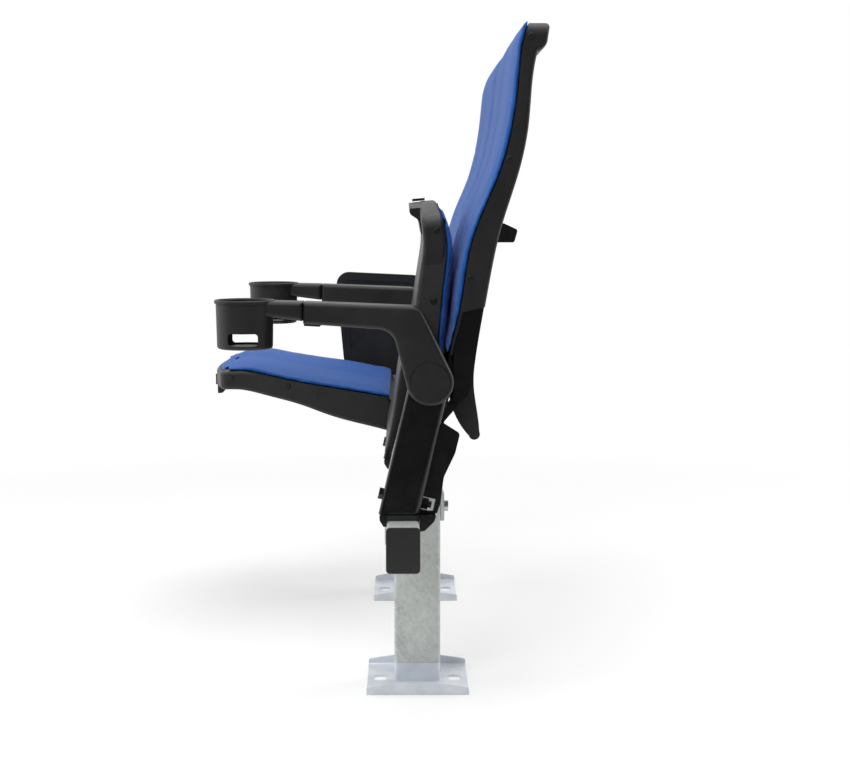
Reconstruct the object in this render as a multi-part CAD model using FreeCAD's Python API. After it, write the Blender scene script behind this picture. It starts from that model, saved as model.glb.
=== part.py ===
import FreeCAD, Part
import math
import os

# Two tip-up stadium seats on one beam, sizes in millimetres.
# X runs along the row, Y towards the backs and Z up, with the floor at zero.
# The left seat is tipped up and the right seat is down, as the sitter sees left and right.

V = FreeCAD.Vector

# Row layout
pitch = 530.0                  # from one standard to the next
tip_angle = 85.0               # swing of a seat from down to tipped up
fit = 0.3                      # gap between pieces that seat on each other
running = 0.05                 # radial gap of a turning fit
side_play = 0.5                # gap beside a turning piece

# Beam
beam_depth = 48.0
beam_height = 66.0
beam_wall = 3.0
beam_corner = 5.0
beam_overhang = 74.0           # past the middle of an end standard
beam_y = -22.5
beam_clearance = 247.0         # floor to the underside of the beam
cap_rim = 3.0
cap_overlap = 1.0
cap_plug = 22.0

# Posts and feet
post_x = 310.0
post_depth = 75.0
post_width = 40.0
post_wall = 3.0
post_corner = 6.0
foot_depth = 164.0
foot_width = 170.0
foot_plate = 4.0
foot_flange_end = 12.7
foot_flange_middle = 20.0
foot_socket = 34.0             # height of the stub that holds the post
foot_spigot = 60.0             # length of the spigot inside the post
slot_y = 61.0
slot_width = 22.0
slot_length = 32.0

# Clamp that holds the beam in the post
strap = 6.0
strap_width = 32.0
strap_drop = 19.0              # how far the front leg reaches below the beam
strap_rear = 44.0              # height of the rear leg

# Standards
upright_width = 30.0
upright_depth = 60.0
upright_wall = 2.5
upright_corner = 8.0
saddle_width = 40.0
saddle_plate = 8.0
spigot_height = 62.0
cross_bolt_rise = 23.0         # cross bolt above the saddle
gusset = 8.0
lean_foot = -25.5              # foot of the upright behind the seat pivot
boss_y = 20.5                  # arm boss behind the seat pivot
boss_z = 118.2                 # arm boss above the seat pivot
bolt_r = 5.0
bolt_head_r = 9.0
bolt_head = 6.5

# Seat hinge
pivot_y = -3.0
pivot_rise = 88.0              # pivot above the beam
hub_r = 37.0
clear_r = 42.0                 # the shells stay outside this radius
axle_r = 8.0
axle_head_r = 13.0
axle_head = 6.0
bush_r = 11.0
hinge_plate = 6.0
hinge_disc_r = 35.0
hinge_inset = 21.0             # hinge plate inside the widest side of the seat
stop_pin_r = 4.0
stop_orbit = 26.0
stop_angle = -45.0

# Backs
back_width = 494.0
back_skin = 4.0
pad_gap = 0.4
back_pad = 8.0
back_crown = 3.5
pocket_depth = 28.0            # side pocket that takes the bracket
back_corner = 18.0
back_edge = 6.0                # rounding of the rear edges
back_screw_places = [(168.0, 622.0), (138.0, 444.5), (81.0, 270.0)]

# Back brackets
bracket_inset = 9.3            # outer face of the bar inside the side of the back
bracket_bar = 16.7
bracket_foot_gap = 1.0         # foot of the bracket outside the seat
bracket_bolt = (25.0, 50.0)    # from the seat pivot
bracket_bolt_r = 4.0
bracket_bolt_sink = 4.0

# Seats
seat_width = 470.0
seat_front_width = 426.0
seat_bow = 27.0
seat_reach = 381.0             # pivot to the middle of the front edge
seat_pad = 8.0
seat_crown = 4.0
seat_edge = 6.0                # rounding of the lower rim of the shell
nose_width = 250.0
seat_screw_places = [(-335.0, 61.0), (-231.0, 47.0)]

# Armrests and cup holders
arm_width = 54.0
arm_boss_r = 34.5
arm_disc_r = 29.5
arm_disc = 2.5
arm_recess = 5.0
cup_r = 44.5
cup_foot_r = 41.0
cup_height = 72.0
cup_wall = 3.0
cup_reach = 272.5              # arm boss to the middle of the cup
cup_window_width = 44.0
cup_window_low = 6.0
cup_window_height = 18.0

# End panel
panel = 12.0
panel_field = 2.5
panel_border = 17.0
panel_disc_r = 65.0
panel_bolt = (-12.0, -24.0)    # lower fixing, from the seat pivot
panel_bolt_r = 4.0
panel_head_r = 7.5
panel_head = 4.5

# Small screws
screw_r = 2.0
screw_head_r = 4.5
screw_head = 2.0
plate_width = 60.0
plate_height = 20.0
plate_thickness = 4.0

# Worked out from the values above
beam_top = beam_clearance + beam_height
beam_front = beam_y - beam_depth / 2
beam_rear = beam_y + beam_depth / 2
beam_half = pitch + beam_overhang
saddle_top = beam_top + fit + saddle_plate
pivot_z = beam_top + pivot_rise
standard_x = {"left": pitch, "middle": 0.0, "right": -pitch}
seat_x = {"left": pitch / 2, "right": -pitch / 2}
post_places = {"left": post_x, "right": -post_x}


def at(y, z, x=0.0):
    """A point of the side view, measured from the seat pivot."""
    return V(x, pivot_y + y, pivot_z + z)


def box(x0, x1, y0, y1, z0, z1):
    return Part.makeBox(x1 - x0, y1 - y0, z1 - z0, V(x0, y0, z0))


def rod(start, end, radius):
    return Part.makeCylinder(radius, (end - start).Length, start, end - start)


def curve(points):
    spline = Part.BSplineCurve()
    spline.interpolate(points)
    return spline.toShape()


def line(start, end):
    return Part.LineSegment(start, end).toShape()


def arc(start, middle, end):
    return Part.Arc(start, middle, end).toShape()


def rounded(corners):
    """A closed wire through (point, radius) corners, each rounded by its radius."""
    count = len(corners)
    starts = []
    bends = []
    ends = []
    for index, (corner, radius) in enumerate(corners):
        before = (corners[index - 1][0] - corner).normalize()
        after = (corners[(index + 1) % count][0] - corner).normalize()
        half = before.getAngle(after) / 2
        middle = (before + after).normalize()
        starts.append(corner + before * (radius / math.tan(half)))
        ends.append(corner + after * (radius / math.tan(half)))
        bends.append(corner + middle * (radius / math.sin(half) - radius))
    edges = []
    for index in range(count):
        if corners[index][1] > 0:
            edges.append(arc(starts[index], bends[index], ends[index]))
        following = starts[(index + 1) % count]
        if (following - ends[index]).Length > 1e-6:
            edges.append(line(ends[index], following))
    return Part.Wire(edges)


def prism(outline, x0, x1):
    """Extrudes a side outline, given as a wire or as plain points, along X."""
    if isinstance(outline, list):
        outline = Part.makePolygon(outline + outline[:1])
    face = Part.Face(outline)
    face.translate(V(x0, 0, 0))
    return face.extrude(V(x1 - x0, 0, 0))


def tube_section(width, depth, corner):
    """A rounded rectangle in the XY plane, centred on the origin."""
    x = width / 2
    y = depth / 2
    return Part.Face(rounded([(V(x, y, 0), corner), (V(-x, y, 0), corner),
                              (V(-x, -y, 0), corner), (V(x, -y, 0), corner)]))


def edges_where(shape, test):
    return [edge for edge in shape.Edges if test(edge)]


def hexagon(start, end, radius):
    """A hexagon nut or head between two points, given its corner radius."""
    axis = (end - start).normalize()
    side = axis.cross(V(0.3, 0.5, 0.8)).normalize()
    if abs(axis.x) < 0.5:
        side = V(1, 0, 0)
    points = []
    for corner in range(7):
        turn = FreeCAD.Rotation(axis, 60.0 * corner)
        points.append(start + turn.multVec(side) * radius)
    return Part.Face(Part.makePolygon(points)).extrude(end - start)


def save(name, shapes):
    shape = shapes
    if isinstance(shapes, list):
        shape = shapes[0] if len(shapes) == 1 else Part.makeCompound(shapes)
    if not shape.isValid() or shape.Volume <= 0:
        print("bad shape", name)
    shape.exportStep("parts/%s.step" % name)


# Beam and its end caps

def make_beam():
    outer = tube_section(beam_height, beam_depth, beam_corner)
    inner = tube_section(beam_height - 2 * beam_wall, beam_depth - 2 * beam_wall, beam_corner - beam_wall)
    tube = outer.cut(inner)
    tube.rotate(V(0, 0, 0), V(0, 1, 0), 90)
    tube.translate(V(-beam_half, beam_y, beam_clearance + beam_height / 2))
    beam = tube.extrude(V(2 * beam_half, 0, 0))
    for x in standard_x.values():
        for y in beam_bolt_places():
            beam = beam.cut(rod(V(x, y, beam_clearance - 1), V(x, y, beam_top + 1), bolt_r + fit))
    return beam


def beam_bolt_places():
    return (beam_y - beam_depth / 4, beam_y + beam_depth / 4)


def make_beam_cap(side):
    rim_face = tube_section(beam_height + 2 * cap_overlap, beam_depth + 2 * cap_overlap, beam_corner + cap_overlap)
    rim = rim_face.extrude(V(0, 0, cap_rim))
    rim = rim.makeFillet(1.2, edges_where(rim, lambda e: e.BoundBox.ZMin > cap_rim - 0.01))
    slack = 2 * (beam_wall + fit)
    plug = tube_section(beam_height - slack, beam_depth - slack, beam_corner - beam_wall - fit)
    plug = plug.extrude(V(0, 0, -cap_plug))
    hollow = tube_section(beam_height - slack - 5, beam_depth - slack - 5, 1.0)
    hollow = hollow.extrude(V(0, 0, -cap_plug - 1))
    cap = rim.fuse(plug.cut(hollow)).removeSplitter()
    cap.rotate(V(0, 0, 0), V(0, 1, 0), 90)
    cap.translate(V(beam_half + 0.05, beam_y, beam_clearance + beam_height / 2))
    return cap if side > 0 else cap.mirror(V(0, 0, 0), V(1, 0, 0))


# Posts, feet and the straps that clamp the beam into the posts

def make_post(x):
    outer = tube_section(post_width, post_depth, post_corner)
    inner = tube_section(post_width - 2 * post_wall, post_depth - 2 * post_wall, post_corner - post_wall)
    tube = outer.cut(inner)
    tube.translate(V(x, 0, foot_socket + fit))
    post = tube.extrude(V(0, 0, beam_top - 2 - foot_socket - fit))
    notch = box(x - post_width, x + post_width, -post_depth, beam_rear + fit,
                beam_clearance - fit, beam_top + 10)
    post = post.cut(notch)
    hole_z = beam_top - strap_rear / 2
    return post.cut(rod(V(x, 0, hole_z), V(x, post_depth, hole_z), bolt_r + fit))


def make_foot(x):
    half_x = foot_width / 2
    half_y = foot_depth / 2
    plate = tube_section(foot_width, foot_depth, 3.0).extrude(V(0, 0, foot_plate))
    flange_line = [line(V(0, half_y, 0), V(0, half_y, foot_flange_end - 4)),
                   arc(V(0, half_y, foot_flange_end - 4), V(0, half_y - 1.2, foot_flange_end - 1.2),
                       V(0, half_y - 4, foot_flange_end)),
                   arc(V(0, half_y - 4, foot_flange_end), V(0, 0, foot_flange_middle),
                       V(0, 4 - half_y, foot_flange_end)),
                   arc(V(0, 4 - half_y, foot_flange_end), V(0, 1.2 - half_y, foot_flange_end - 1.2),
                       V(0, -half_y, foot_flange_end - 4)),
                   line(V(0, -half_y, foot_flange_end - 4), V(0, -half_y, 0)),
                   line(V(0, -half_y, 0), V(0, half_y, 0))]
    flange = prism(Part.Wire(flange_line), half_x - foot_plate, half_x)
    foot = plate.fuse(flange).fuse(flange.mirror(V(0, 0, 0), V(1, 0, 0)))
    foot = foot.removeSplitter()
    inner_bends = edges_where(foot, lambda e: abs(e.BoundBox.ZMin - foot_plate) < 0.01
                              and e.BoundBox.ZLength < 0.01
                              and abs(abs(e.CenterOfMass.x) - half_x + foot_plate) < 0.01)
    foot = foot.makeFillet(3.0, inner_bends)
    socket = tube_section(post_width, post_depth, post_corner).extrude(V(0, 0, foot_socket))
    slack = 2 * (post_wall + fit)
    spigot = tube_section(post_width - slack, post_depth - slack, post_corner - post_wall - fit)
    spigot = spigot.extrude(V(0, 0, foot_socket + foot_spigot))
    bore = tube_section(post_width - slack - 8, post_depth - slack - 8, 1.0)
    bore = bore.extrude(V(0, 0, foot_socket + foot_spigot + 1))
    foot = foot.fuse(socket).fuse(spigot).removeSplitter().cut(bore)
    for y in (-slot_y, slot_y):
        middle = slot_length / 2 - slot_width / 2
        slot = box(-middle, middle, y - slot_width / 2, y + slot_width / 2, -1, foot_plate + 1)
        for end in (-middle, middle):
            slot = slot.fuse(rod(V(end, y, -1), V(end, y, foot_plate + 1), slot_width / 2))
        foot = foot.cut(slot)
    foot.translate(V(x, 0, 0))
    return foot


def make_strap(x):
    front = beam_front - fit
    rear = post_depth / 2 + fit
    low = beam_clearance - strap_drop
    top = beam_top + fit
    corner = strap + 2
    outline = rounded([(V(0, front - strap, low), 5.0), (V(0, front - strap, top + strap), corner),
                       (V(0, rear + strap, top + strap), corner), (V(0, rear + strap, top - strap_rear), 2.0),
                       (V(0, rear, top - strap_rear), 0.0), (V(0, rear, top), 2.0),
                       (V(0, front, top), 2.0), (V(0, front, low + strap), 1.0),
                       (V(0, -post_depth / 2 - fit, low + strap), 0.0), (V(0, -post_depth / 2 - fit, low), 0.0)])
    body = prism(outline, x - strap_width / 2, x + strap_width / 2)
    hole_z = beam_top - strap_rear / 2
    return body.cut(rod(V(x, 0, hole_z), V(x, post_depth, hole_z), bolt_r + fit))


def make_strap_bolts():
    bolts = []
    for x in post_places.values():
        z = beam_top - strap_rear / 2
        seat = post_depth / 2 + fit + strap
        inside = post_depth / 2 - post_wall
        shank = rod(V(x, inside - 14, z), V(x, seat, z), bolt_r)
        head = hexagon(V(x, seat, z), V(x, seat + bolt_head, z), bolt_head_r)
        nut = hexagon(V(x, inside - 8, z), V(x, inside, z), bolt_head_r)
        bolts.append(shank.fuse(head).fuse(nut).removeSplitter())
    return bolts


# Standards: saddle on the beam, leaning upright with its gusset

def lean():
    foot = V(0, pivot_y + lean_foot, saddle_top)
    return foot, at(boss_y, boss_z) - foot


def on_upright(solid, x):
    """Turns a piece made along Z at the origin onto the axis of an upright."""
    foot, direction = lean()
    solid.rotate(V(0, 0, 0), V(1, 0, 0), -math.degrees(math.atan2(direction.y, direction.z)))
    solid.translate(foot + V(x, 0, 0))
    return solid


def cross_bolt_line(x):
    foot, direction = lean()
    along = V(direction).normalize()
    across = V(0, along.z, -along.y)
    middle = foot + V(x, 0, 0) + along * cross_bolt_rise
    return middle, across


def make_saddle(x):
    plate_bottom = beam_top + fit
    front = beam_front - fit
    rear = beam_rear + fit
    outline = rounded([(V(0, front - 11, saddle_top), 1.5), (V(0, front - 10.5, saddle_top - 8), 2.0),
                       (V(0, front - 5, saddle_top - 17), 1.5), (V(0, front, saddle_top - 17), 0.0),
                       (V(0, front, plate_bottom), 1.0), (V(0, rear, plate_bottom), 1.0),
                       (V(0, rear, saddle_top - 25), 0.0), (V(0, rear + 8, saddle_top - 23), 2.0),
                       (V(0, rear + 22, saddle_top - 9), 3.0), (V(0, rear + 25, saddle_top), 1.5)])
    saddle = prism(outline, x - saddle_width / 2, x + saddle_width / 2)
    inner_width = upright_width - 2 * (upright_wall + fit)
    inner_depth = upright_depth - 2 * (upright_wall + fit)
    spigot = tube_section(inner_width, inner_depth, upright_corner - upright_wall - fit)
    spigot.translate(V(0, 0, -30))
    spigot = on_upright(spigot.extrude(V(0, 0, 30 + spigot_height)), x)
    spigot = spigot.cut(box(x - 50, x + 50, -200, 200, 0, saddle_top - 2))
    saddle = saddle.fuse(spigot).removeSplitter()
    middle, across = cross_bolt_line(x)
    saddle = saddle.cut(rod(middle - across * 60, middle + across * 60, bolt_r + fit))
    for y in beam_bolt_places():
        saddle = saddle.cut(rod(V(x, y, beam_top), V(x, y, beam_top + 24), bolt_r + running))
    return saddle


def make_upright(name):
    foot, direction = lean()
    length = direction.Length
    outer = tube_section(upright_width, upright_depth, upright_corner)
    outer.translate(V(0, 0, -30))
    tube = outer.extrude(V(0, 0, length + 30))
    tube = tube.fuse(rod(V(-upright_width / 2, 0, length), V(upright_width / 2, 0, length), upright_depth / 2))
    inner = tube_section(upright_width - 2 * upright_wall, upright_depth - 2 * upright_wall,
                         upright_corner - upright_wall)
    inner.translate(V(0, 0, -31))
    tube = tube.removeSplitter().cut(inner.extrude(V(0, 0, length - 30)))
    tube = on_upright(tube, 0)
    tube = tube.cut(box(-50, 50, -200, 200, 0, saddle_top + fit))
    plate_top = 58.0
    side = V(0, direction.y, direction.z).normalize()
    rear = V(0, side.z, -side.y) * (upright_depth / 2 - 0.6)
    low = foot + rear + side * (saddle_top + fit - (foot + rear).z) * (1 / side.z)
    high = foot + rear + side * ((pivot_z + plate_top - (foot + rear).z) / side.z)
    ribs = [low, high, at(65, 40), at(58, 11), at(41, -25), at(36, -65), V(0, at(31, 0).y, saddle_top + fit)]
    plate = prism(rounded([(low, 0.0), (high, 0.0), (ribs[2], 5.0), (ribs[3], 30.0), (ribs[4], 30.0),
                           (ribs[5], 30.0), (ribs[6], 0.0)]), -gusset / 2, gusset / 2)
    middle, across = cross_bolt_line(0)
    nut_room = rod(middle + across * (upright_depth / 2 - upright_wall),
                   middle + across * (upright_depth / 2 + 18), bolt_head_r + 2)
    upright = tube.fuse(plate.cut(nut_room)).removeSplitter()
    upright = upright.cut(rod(middle - across * 60, middle + across * 40, bolt_r + fit))
    for side in standard_sides(name):
        upright = upright.cut(rod(at(0, 0), at(0, 0, side * upright_width), axle_r + running))
        hole = at(*bracket_bolt)
        upright = upright.cut(rod(hole, hole + V(side * upright_width, 0, 0), bracket_bolt_r + running))
    if name == "right":
        for y, z in ((boss_y, boss_z), panel_bolt):
            upright = upright.cut(rod(at(y, z), at(y, z, -upright_width), panel_bolt_r + running))
    else:
        upright = upright.cut(rod(at(boss_y, boss_z, -upright_width), at(boss_y, boss_z, upright_width),
                                  bolt_r + fit))
    upright.translate(V(standard_x[name], 0, 0))
    return upright


def make_cross_bolts():
    bolts = []
    for x in standard_x.values():
        middle, across = cross_bolt_line(x)
        front = middle - across * (upright_depth / 2)
        rear = middle + across * (upright_depth / 2)
        bolt = rod(front, rear + across * 14, bolt_r)
        bolt = bolt.fuse(hexagon(front, front - across * bolt_head, bolt_head_r))
        bolt = bolt.fuse(hexagon(rear, rear + across * 9, bolt_head_r))
        bolts.append(bolt.removeSplitter())
    return bolts


def make_beam_bolts():
    bolts = []
    for x in standard_x.values():
        for y in beam_bolt_places():
            bolt = rod(V(x, y, beam_clearance), V(x, y, saddle_top + 6), bolt_r)
            head = hexagon(V(x, y, beam_clearance), V(x, y, beam_clearance - bolt_head), bolt_head_r)
            bolts.append(bolt.fuse(head).removeSplitter())
    return bolts


# Seat hinges: fixed hub, axle and stop pin on the standards

def hub_reach():
    """From the face of an upright to the inner face of its hub."""
    plate_outside = seat_width / 2 - hinge_inset
    return (pitch - upright_width) / 2 - plate_outside - side_play


def standard_sides(name):
    """The sides of a standard that carry a seat, as -1 or 1 along X."""
    return {"left": (-1,), "middle": (-1, 1), "right": (1,)}[name]


def stop_place(radius):
    angle = math.radians(stop_angle)
    return radius * math.cos(angle), radius * math.sin(angle)


def make_hubs(name):
    hubs = []
    for side in standard_sides(name):
        face = standard_x[name] + side * (upright_width / 2 + fit)
        inner = face + side * (hub_reach() - fit)
        hub = rod(at(0, 0, face), at(0, 0, inner), hub_r)
        rim = edges_where(hub, lambda e: abs(e.CenterOfMass.x - inner) < 0.01)
        hub = hub.makeFillet(2.0, rim)
        hub = hub.cut(rod(at(0, 0, face - side), at(0, 0, inner + side), axle_r + running))
        y, z = stop_place(stop_orbit)
        hub = hub.cut(rod(at(y, z, face - side), at(y, z, inner + side), stop_pin_r + running))
        hubs.append(hub)
    return hubs


def make_axles():
    """End standards hold a stub axle, and the middle one holds a through axle."""
    plate_inside = upright_width / 2 + hub_reach() + side_play + hinge_plate + side_play
    axles = []
    for name, x in standard_x.items():
        sides = standard_sides(name)
        outer = -sides[0] * (upright_width / 2 - upright_wall - fit)
        if len(sides) == 2:
            outer = plate_inside
        axle = rod(at(0, 0, x + outer), at(0, 0, x + sides[0] * plate_inside), axle_r)
        for side in sides:
            inner = x + side * plate_inside
            axle = axle.fuse(rod(at(0, 0, inner), at(0, 0, inner + side * axle_head), axle_head_r))
        axles.append(axle.removeSplitter())
    return axles


def make_stop_pins():
    pins = []
    for name, x in standard_x.items():
        for side in standard_sides(name):
            y, z = stop_place(stop_orbit)
            start = x + side * (upright_width / 2 + fit)
            end = x + side * (upright_width / 2 + hub_reach() + side_play + hinge_plate)
            pins.append(rod(at(y, z, start), at(y, z, end), stop_pin_r))
    return pins


# Back brackets, with their bars tucked into the side pockets of the backs

def bracket_bar_points(grow):
    return [at(81.5 - grow, 290 + grow), at(70 - grow, 222), at(56.5 - grow, 160), at(56 - grow, 92),
            at(41 - grow, 72), at(46, 62 - grow), at(61.5 + grow, 78.5), at(79 + grow, 96),
            at(89 + grow, 155), at(97 + grow, 222), at(104 + grow, 290 + grow)]


def bracket_span(side):
    """The inner and outer X of the bar beside a standard, measured from that standard."""
    outer = (pitch - back_width) / 2 + bracket_inset
    return side * outer, side * (outer + bracket_bar)


def make_bracket(name, side):
    x = standard_x[name]
    outer, inner = bracket_span(side)
    bar_points = bracket_bar_points(0.0)
    radii = [3.0, 0.0, 0.0, 8.0, 3.0, 3.0, 10.0, 10.0, 0.0, 0.0, 3.0]
    low, high = sorted((x + outer, x + inner))
    bar = prism(rounded(list(zip(bar_points, radii))), low, high)
    face = x + side * (upright_width / 2 + fit)
    foot_inside = x + side * ((pitch - seat_width) / 2 - bracket_foot_gap)
    low, high = sorted((face, foot_inside))
    foot = prism(rounded([(at(15, 36), 4.0), (at(39, 36), 4.0), (at(42, 56), 6.0), (at(61, 78), 4.0),
                          (at(55, 84), 3.0), (at(41, 75), 4.0), (at(18, 68), 6.0)]), low, high)
    low, high = sorted((face, x + inner))
    knee = prism(rounded([(at(46, 63), 3.0), (at(61, 78), 4.0), (at(57.5, 84), 3.0), (at(42, 73), 3.0)]),
                 low, high)
    bracket = bar.fuse(foot).fuse(knee).removeSplitter()
    y, z = bracket_bolt
    bracket = bracket.cut(rod(at(y, z, face - side), at(y, z, foot_inside + side), bracket_bolt_r + fit))
    return bracket.cut(sunk_head(at(y, z, foot_inside), side, bracket_bolt_r + fit))


def sunk_head(face, side, radius):
    """The cone of a countersunk head whose flat lies at a point of a face."""
    start = face - V(side * bracket_bolt_sink, 0, 0)
    return Part.makeCone(radius, radius + bracket_bolt_sink, bracket_bolt_sink, start, V(side, 0, 0))


def make_bracket_bolts():
    bolts = []
    y, z = bracket_bolt
    for name, x in standard_x.items():
        for side in standard_sides(name):
            start = x + side * (upright_width / 2 - upright_wall - fit)
            face = x + side * ((pitch - seat_width) / 2 - bracket_foot_gap)
            bolt = rod(at(y, z, start), at(y, z, face), bracket_bolt_r)
            bolts.append(bolt.fuse(sunk_head(at(y, z, face), side, bracket_bolt_r)).removeSplitter())
    return bolts


# Backs

front_line = [(166, 642), (156, 607), (151, 554), (146, 513), (126, 429), (95, 355), (82, 316), (66, 222),
              (52, 165), (47, 120), (54, 75), (80, 30)]
rear_line = [(96, 36), (92, 70), (87, 110), (90, 149), (106, 245), (127, 346), (148, 412), (166, 495),
             (171, 559), (178, 600)]


def shifted(points, y, z=0.0):
    return [at(p[0] + y, p[1] + z) for p in points]


def make_back_shell(seat):
    half = back_width / 2
    edges = [curve(shifted(front_line, 0)), arc(at(80, 30), at(90, 24), at(96, 36)),
             curve(shifted(rear_line, 0)), arc(at(178, 600), at(188.5, 607), at(193, 619)),
             line(at(193, 619), at(195, 633)), arc(at(195, 633), at(193.5, 639.5), at(187, 642)),
             line(at(187, 642), at(166, 642))]
    profile = Part.Wire(edges)
    shell = prism(profile, -half, half)
    rear_edges = edges_where(shell, lambda e: e.BoundBox.XLength < 0.01 and e.CenterOfMass.z > pivot_z + 200
                             and (e.BoundBox.YMin > pivot_y + 80 or e.CenterOfMass.y > pivot_y + 150))
    shell = shell.makeFillet(back_edge, rear_edges)
    low = pivot_z - 20
    high = pivot_z + 642.0
    corners = [(V(half, 0, low), 0.0), (V(half, 0, high), back_corner), (V(-half, 0, high), back_corner),
               (V(-half, 0, low), 0.0)]
    front_view = Part.Face(rounded(corners))
    front_view.translate(V(0, -50, 0))
    shell = shell.common(front_view.extrude(V(0, 400, 0)))
    window = box(-half + 42, half - 42, -100, 400, pivot_z + 185, pivot_z + 300)
    window = window.fuse(box(-half + 42, half - 42, -100, 400, pivot_z + 365, pivot_z + 560))
    ahead = prism(profile, -half, half)
    ahead.translate(V(0, -3.0, 0))
    shell = shell.cut(window.cut(ahead))
    ledge = prism(rounded([(at(105, 330), 0.0), (at(120, 352), 0.0), (at(141, 348), 4.0), (at(162.5, 338), 4.0),
                           (at(157, 318), 4.0), (at(105, 318), 0.0)]), -70, 70)
    shell = shell.fuse(ledge)
    for side in (-1, 1):
        outer = side * (half + 1)
        inner = side * (half - pocket_depth)
        x0, x1 = sorted((outer, inner))
        behind = prism(Part.Wire([curve(shifted(front_line, back_skin)),
                                  line(at(80 + back_skin, 30), at(300, 30)), line(at(300, 30), at(300, 642)),
                                  line(at(300, 642), at(166 + back_skin, 642))]), x0, x1)
        top = prism([at(40, 217.5), at(69, 219), at(100, 226), at(300, 260), at(300, 0), at(0, 0)], x0, x1)
        shell = shell.cut(behind.common(top))
        shell = shell.cut(box(x0, x1, -100, 400, pivot_z - 20, pivot_z + 155))
        bar_outer = side * (half - bracket_inset + fit)
        bar_inner = side * (half - bracket_inset - bracket_bar - fit)
        x0, x1 = sorted((bar_outer, bar_inner))
        shell = shell.cut(prism(bracket_bar_points(0.5), x0, x1))
        for y, z in back_screw_places:
            start = at(y, z, side * (half + 1))
            shell = shell.cut(rod(start, start - V(side * 25, 0, 0), screw_r + running))
    hollow_rear = [(y - 4.5, z) for y, z in rear_line if 100 < z < 560]
    hollow_front = [(y + 4.5, z) for y, z in front_line if 160 < z < 560]
    inside = Part.Wire([curve([at(y, z) for y, z in hollow_front]),
                        line(at(*hollow_front[-1]), at(*hollow_rear[0])),
                        curve([at(y, z) for y, z in hollow_rear]),
                        line(at(*hollow_rear[-1]), at(*hollow_front[0]))])
    shell = shell.cut(prism(inside, -half + 50, half - 50))
    shell.translate(V(seat_x[seat], 0, 0))
    return shell


def back_bracket_screw_room(seat):
    """The third screw on each side passes into the bar of a bracket."""
    holes = []
    half = back_width / 2
    y, z = back_screw_places[2]
    for side in (-1, 1):
        start = at(y, z, seat_x[seat] + side * (half + 1))
        holes.append(rod(start, start - V(side * 26, 0, 0), screw_r + running))
    return holes


def make_back_screws(seat):
    screws = []
    half = back_width / 2
    for side in (-1, 1):
        for y, z in back_screw_places:
            face = seat_x[seat] + side * half
            head = rod(at(y, z, face), at(y, z, face + side * screw_head), screw_head_r)
            rim = edges_where(head, lambda e: abs(e.CenterOfMass.x - face - side * screw_head) < 0.01)
            head = head.makeFillet(1.2, rim)
            shank = rod(at(y, z, face), at(y, z, face - side * 22), screw_r)
            screws.append(head.fuse(shank).removeSplitter())
    return screws


def pad_section(width, base, edge, crown, valley, place):
    """A closed cushion section: flat base, upright sides and two crowned halves."""
    points = [(-width, base), (-width, base + edge - 2), (-width + 3, base + edge), (-width / 2, base + crown),
              (0, base + valley), (width / 2, base + crown), (width - 3, base + edge), (width, base + edge - 2),
              (width, base)]
    p = [place(x, z) for x, z in points]
    return Part.Wire([line(p[0], p[1]), line(p[1], p[2]), arc(p[2], p[3], p[4]), arc(p[4], p[5], p[6]),
                      line(p[6], p[7]), line(p[7], p[8]), line(p[8], p[0])])


def make_back_pad(seat):
    sections = []
    ends = [(166.6, 644.0)] + front_line[1:8] + [(51.0, 159.0)]
    for index, (y, z) in enumerate(ends):
        share = math.sin(math.pi * (index + 0.6) / (len(ends) + 0.2))
        edge = back_pad + 10
        crown = edge + back_crown * share
        valley = edge + 0.2 * back_crown * share
        width = back_width / 2 - 1.5 * share
        sections.append(pad_section(width, 0, edge, crown, valley,
                                    lambda x, d, y=y, z=z: at(y + 10 - d, z, x)))
    pad = Part.makeLoft(sections, True)
    behind = prism(Part.Wire([curve(shifted(front_line, -pad_gap)), line(at(80 - pad_gap, 30), at(300, 30)),
                              line(at(300, 30), at(300, 700)), line(at(300, 700), at(180, 700)),
                              line(at(180, 700), at(166 - pad_gap, 642))]), -300, 300)
    pad = pad.cut(behind)
    pad.translate(V(seat_x[seat], 0, 0))
    return pad


# Seats, made lowered around X = 0 and then set in place

top_line = [(-390, 62), (-366, 69), (-337, 73), (-320, 74), (-290, 70), (-238, 59), (-199, 52), (-120, 39),
            (-45, 26)]
under_line = [(-11, -46.5), (-73, -28), (-155, -6), (-199, 10), (-280, 31), (-319, 39), (-348, 39), (-390, 38)]


def set_seat(shape, seat):
    """Moves a lowered seat piece to its place, tipped up for the left seat."""
    shape.translate(V(seat_x[seat], 0, 0))
    if seat == "left":
        shape.rotate(at(0, 0), V(1, 0, 0), -tip_angle)
    return shape


def seat_plan(inset):
    """The outline of a seat from above, with its bowed front."""
    wide = seat_width / 2 - inset
    front = seat_front_width / 2 - inset
    reach = seat_reach - inset
    bow = reach - seat_bow
    points = [at(60, 0, wide), at(-180, 0, wide), at(-285, 0, front + 4), at(-bow, 0, front)]
    left = [V(-p.x, p.y, p.z) for p in points]
    edges = []
    for chain in (points, left):
        for start, end in zip(chain, chain[1:]):
            edges.append(line(start, end))
    edges.append(arc(points[-1], at(-reach, 0), left[-1]))
    edges.append(line(points[0], left[0]))
    face = Part.Face(Part.Wire(Part.sortEdges(edges)[0]))
    face.translate(V(0, 0, -120))
    plan = face.extrude(V(0, 0, 260))
    corners = edges_where(plan, lambda e: e.BoundBox.ZLength > 100 and e.BoundBox.YMax < pivot_y - bow + 1)
    return plan.makeFillet(20.0, corners)


def hinge_outline(grow):
    return [at(0, 20 + grow), at(-60, 22 + grow), at(-250 - grow, 54 + grow), at(-250 - grow, 30 - grow),
            at(-60, -12 - grow), at(0, -20 - grow)]


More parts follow.
